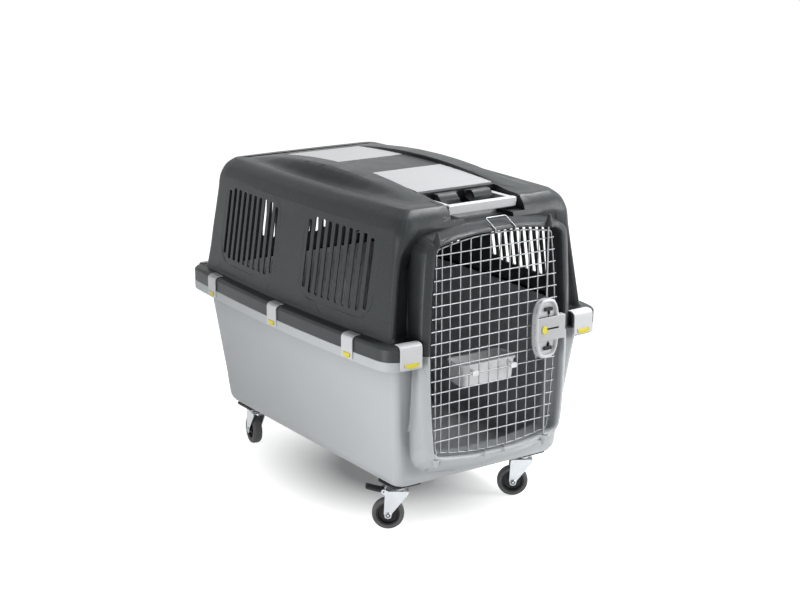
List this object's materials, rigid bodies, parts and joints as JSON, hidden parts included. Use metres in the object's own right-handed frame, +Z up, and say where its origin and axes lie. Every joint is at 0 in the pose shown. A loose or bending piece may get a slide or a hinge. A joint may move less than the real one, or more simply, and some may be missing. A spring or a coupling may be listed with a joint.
{
  "type": "pet travel crate",
  "caption": "Hard-sided pet travel crate with a wire door, clipped half shells, roof compartments, a carry handle, a food bowl and swivel casters.",
  "frame": {"origin": "on the floor under the middle of the crate", "axes": "+Z up, -Y out of the door, +X to the right seen from the door's side"},
  "size_m": [0.6502, 0.9306, 0.792],
  "materials": {
    "dark_grey_shell": "dark grey moulded polypropylene, fine grain",
    "light_grey_shell": "light grey moulded polypropylene, fine grain",
    "pale_grey_fittings": "pale grey, satin, moulded",
    "pale_grey_lid": "pale grey, fine lengthwise grain",
    "yellow_locks": "yellow, smooth moulded",
    "black_plastic": "black moulded nylon",
    "zinc_plate": "bright zinc plate",
    "grey_tyre": "dark grey tread, smooth",
    "clear_bowl": "clear moulded"
  },
  "bodies": {
    "crate": {"lower_shell": "light_grey_shell", "upper_shell": "dark_grey_shell", "front_left_caster_plate": "black_plastic", "front_right_caster_plate": "black_plastic", "rear_left_caster_plate": "black_plastic", "rear_right_caster_plate": "black_plastic"},
    "door": {"door_frame": "zinc_plate", "door_grille": "zinc_plate", "latch_housing": "pale_grey_fittings"},
    "latch_top": {"latch_top_rod": "zinc_plate", "latch_top_tab": "black_plastic"},
    "latch_bottom": {"latch_bottom_rod": "zinc_plate", "latch_bottom_tab": "black_plastic"},
    "latch_lock": {"latch_lock_button": "yellow_locks"},
    "bowl": {"food_bowl": "clear_bowl"},
    "front_lid": {"lid_front": "pale_grey_lid"},
    "rear_lid": {"lid_rear": "pale_grey_lid"},
    "carry_handle": {"handle": "pale_grey_fittings"},
    "left_front_clip_body": {"left_front_clip": "pale_grey_fittings"},
    "left_front_lock_body": {"left_front_lock": "yellow_locks"},
    "left_middle_clip_body": {"left_middle_clip": "pale_grey_fittings"},
    "left_middle_lock_body": {"left_middle_lock": "yellow_locks"},
    "left_rear_clip_body": {"left_rear_clip": "pale_grey_fittings"},
    "left_rear_lock_body": {"left_rear_lock": "yellow_locks"},
    "right_front_clip_body": {"right_front_clip": "pale_grey_fittings"},
    "right_front_lock_body": {"right_front_lock": "yellow_locks"},
    "right_middle_clip_body": {"right_middle_clip": "pale_grey_fittings"},
    "right_middle_lock_body": {"right_middle_lock": "yellow_locks"},
    "right_rear_clip_body": {"right_rear_clip": "pale_grey_fittings"},
    "right_rear_lock_body": {"right_rear_lock": "yellow_locks"},
    "front_end_left_clip_body": {"front_end_left_clip": "pale_grey_fittings"},
    "front_end_left_lock_body": {"front_end_left_lock": "yellow_locks"},
    "front_end_right_clip_body": {"front_end_right_clip": "pale_grey_fittings"},
    "front_end_right_lock_body": {"front_end_right_lock": "yellow_locks"},
    "rear_end_left_clip_body": {"rear_end_left_clip": "pale_grey_fittings"},
    "rear_end_left_lock_body": {"rear_end_left_lock": "yellow_locks"},
    "rear_end_right_clip_body": {"rear_end_right_clip": "pale_grey_fittings"},
    "rear_end_right_lock_body": {"rear_end_right_lock": "yellow_locks"},
    "front_left_swivel": {"front_left_fork": "zinc_plate", "front_left_axle": "zinc_plate"},
    "front_left_wheel": {"front_left_hub": "black_plastic", "front_left_tyre": "grey_tyre"},
    "front_left_brake": {"front_left_brake_pedal": "black_plastic"},
    "front_right_swivel": {"front_right_fork": "zinc_plate", "front_right_axle": "zinc_plate"},
    "front_right_wheel": {"front_right_hub": "black_plastic", "front_right_tyre": "grey_tyre"},
    "rear_left_swivel": {"rear_left_fork": "zinc_plate", "rear_left_axle": "zinc_plate"},
    "rear_left_wheel": {"rear_left_hub": "black_plastic", "rear_left_tyre": "grey_tyre"},
    "rear_right_swivel": {"rear_right_fork": "zinc_plate", "rear_right_axle": "zinc_plate"},
    "rear_right_wheel": {"rear_right_hub": "black_plastic", "rear_right_tyre": "grey_tyre"},
    "rear_right_brake": {"rear_right_brake_pedal": "black_plastic"}
  },
  "joints": [
    {"name": "door_hinge", "type": "hinge", "parent": "crate", "child": "door", "pos_m": [-0.166, -0.4462, 0.447], "axis": [0, 0, -1], "range_deg": [0, 110]},
    {"name": "latch_top_slide", "type": "slide", "parent": "door", "child": "latch_top", "axis": [0, 0, 1], "range_m": [0, 0.008]},
    {"name": "latch_bottom_slide", "type": "slide", "parent": "door", "child": "latch_bottom", "axis": [0, 0, -1], "range_m": [0, 0.008]},
    {"name": "latch_lock_slide", "type": "slide", "parent": "door", "child": "latch_lock", "axis": [1, 0, 0], "range_m": [0, 0.035]},
    {"name": "bowl_lift", "type": "slide", "parent": "door", "child": "bowl", "axis": [0, 0, 1], "range_m": [0, 0.012]},
    {"name": "front_lid_hinge", "type": "hinge", "parent": "crate", "child": "front_lid", "pos_m": [0, -0.0815, 0.78115], "axis": [-1, 0, 0], "range_deg": [0, 100]},
    {"name": "rear_lid_hinge", "type": "hinge", "parent": "crate", "child": "rear_lid", "pos_m": [0, 0.0815, 0.78115], "axis": [1, 0, 0], "range_deg": [0, 100]},
    {"name": "handle_hinge", "type": "hinge", "parent": "crate", "child": "carry_handle", "pos_m": [0, -0.302, 0.751], "axis": [-1, 0, 0], "range_deg": [0, 90]},
    {"name": "left_front_clip_hinge", "type": "hinge", "parent": "crate", "child": "left_front_clip_body", "pos_m": [-0.3132, -0.31117, 0.4315], "axis": [0.0616, -0.9981, 0], "range_deg": [0, 80]},
    {"name": "left_front_lock_slide", "type": "slide", "parent": "left_front_clip_body", "child": "left_front_lock_body", "axis": [0.0616, -0.9981, 0], "range_m": [-0.003, 0.003]},
    {"name": "left_middle_clip_hinge", "type": "hinge", "parent": "crate", "child": "left_middle_clip_body", "pos_m": [-0.3228, 0, 0.4315], "axis": [0, -1, 0], "range_deg": [0, 80]},
    {"name": "left_middle_lock_slide", "type": "slide", "parent": "left_middle_clip_body", "child": "left_middle_lock_body", "axis": [0, -1, 0], "range_m": [-0.003, 0.003]},
    {"name": "left_rear_clip_hinge", "type": "hinge", "parent": "crate", "child": "left_rear_clip_body", "pos_m": [-0.3132, 0.31117, 0.4315], "axis": [-0.0616, -0.9981, 0], "range_deg": [0, 80]},
    {"name": "left_rear_lock_slide", "type": "slide", "parent": "left_rear_clip_body", "child": "left_rear_lock_body", "axis": [-0.0616, -0.9981, 0], "range_m": [-0.003, 0.003]},
    {"name": "right_front_clip_hinge", "type": "hinge", "parent": "crate", "child": "right_front_clip_body", "pos_m": [0.3132, -0.31117, 0.4315], "axis": [0.0616, 0.9981, 0], "range_deg": [0, 80]},
    {"name": "right_front_lock_slide", "type": "slide", "parent": "right_front_clip_body", "child": "right_front_lock_body", "axis": [0.0616, 0.9981, 0], "range_m": [-0.003, 0.003]},
    {"name": "right_middle_clip_hinge", "type": "hinge", "parent": "crate", "child": "right_middle_clip_body", "pos_m": [0.3228, 0, 0.4315], "axis": [0, 1, 0], "range_deg": [0, 80]},
    {"name": "right_middle_lock_slide", "type": "slide", "parent": "right_middle_clip_body", "child": "right_middle_lock_body", "axis": [0, 1, 0], "range_m": [-0.003, 0.003]},
    {"name": "right_rear_clip_hinge", "type": "hinge", "parent": "crate", "child": "right_rear_clip_body", "pos_m": [0.3132, 0.31117, 0.4315], "axis": [-0.0616, 0.9981, 0], "range_deg": [0, 80]},
    {"name": "right_rear_lock_slide", "type": "slide", "parent": "right_rear_clip_body", "child": "right_rear_lock_body", "axis": [-0.0616, 0.9981, 0], "range_m": [-0.003, 0.003]},
    {"name": "front_end_left_clip_hinge", "type": "hinge", "parent": "crate", "child": "front_end_left_clip_body", "pos_m": [-0.24259, -0.45878, 0.4315], "axis": [0.9995, -0.0331, 0], "range_deg": [0, 80]},
    {"name": "front_end_left_lock_slide", "type": "slide", "parent": "front_end_left_clip_body", "child": "front_end_left_lock_body", "axis": [0.9995, -0.0331, 0], "range_m": [-0.003, 0.003]},
    {"name": "front_end_right_clip_hinge", "type": "hinge", "parent": "crate", "child": "front_end_right_clip_body", "pos_m": [0.24259, -0.45878, 0.4315], "axis": [0.9995, 0.0331, 0], "range_deg": [0, 80]},
    {"name": "front_end_right_lock_slide", "type": "slide", "parent": "front_end_right_clip_body", "child": "front_end_right_lock_body", "axis": [0.9995, 0.0331, 0], "range_m": [-0.003, 0.003]},
    {"name": "rear_end_left_clip_hinge", "type": "hinge", "parent": "crate", "child": "rear_end_left_clip_body", "pos_m": [-0.24259, 0.45878, 0.4315], "axis": [-0.9995, -0.0331, 0], "range_deg": [0, 80]},
    {"name": "rear_end_left_lock_slide", "type": "slide", "parent": "rear_end_left_clip_body", "child": "rear_end_left_lock_body", "axis": [-0.9995, -0.0331, 0], "range_m": [-0.003, 0.003]},
    {"name": "rear_end_right_clip_hinge", "type": "hinge", "parent": "crate", "child": "rear_end_right_clip_body", "pos_m": [0.24259, 0.45878, 0.4315], "axis": [-0.9995, 0.0331, 0], "range_deg": [0, 80]},
    {"name": "rear_end_right_lock_slide", "type": "slide", "parent": "rear_end_right_clip_body", "child": "rear_end_right_lock_body", "axis": [-0.9995, 0.0331, 0], "range_m": [-0.003, 0.003]},
    {"name": "front_left_swivel_joint", "type": "hinge", "parent": "crate", "child": "front_left_swivel", "pos_m": [-0.182, -0.3285, 0], "axis": [0, 0, 1], "continuous": true},
    {"name": "front_left_wheel_spin", "type": "hinge", "parent": "front_left_swivel", "child": "front_left_wheel", "pos_m": [-0.20412, -0.31301, 0.0375], "axis": [-0.5736, -0.8192, 0], "continuous": true},
    {"name": "front_left_brake_hinge", "type": "hinge", "parent": "front_left_swivel", "child": "front_left_brake", "pos_m": [-0.21231, -0.30728, 0.0942], "axis": [-0.5736, -0.8192, 0], "range_deg": [0, 12]},
    {"name": "front_right_swivel_joint", "type": "hinge", "parent": "crate", "child": "front_right_swivel", "pos_m": [0.182, -0.3285, 0], "axis": [0, 0, 1], "continuous": true},
    {"name": "front_right_wheel_spin", "type": "hinge", "parent": "front_right_swivel", "child": "front_right_wheel", "pos_m": [0.15936, -0.31379, 0.0375], "axis": [-0.5446, -0.8387, 0], "continuous": true},
    {"name": "rear_left_swivel_joint", "type": "hinge", "parent": "crate", "child": "rear_left_swivel", "pos_m": [-0.182, 0.3285, 0], "axis": [0, 0, 1], "continuous": true},
    {"name": "rear_left_wheel_spin", "type": "hinge", "parent": "rear_left_swivel", "child": "rear_left_wheel", "pos_m": [-0.17685, 0.355, 0.0375], "axis": [-0.9816, 0.1908, 0], "continuous": true},
    {"name": "rear_right_swivel_joint", "type": "hinge", "parent": "crate", "child": "rear_right_swivel", "pos_m": [0.182, 0.3285, 0], "axis": [0, 0, 1], "continuous": true},
    {"name": "rear_right_wheel_spin", "type": "hinge", "parent": "rear_right_swivel", "child": "rear_right_wheel", "pos_m": [0.17189, 0.35353, 0.0375], "axis": [-0.9272, -0.3746, 0], "continuous": true},
    {"name": "rear_right_brake_hinge", "type": "hinge", "parent": "rear_right_swivel", "child": "rear_right_brake", "pos_m": [0.16814, 0.36281, 0.0942], "axis": [-0.9272, -0.3746, 0], "range_deg": [0, 12]}
  ]
}
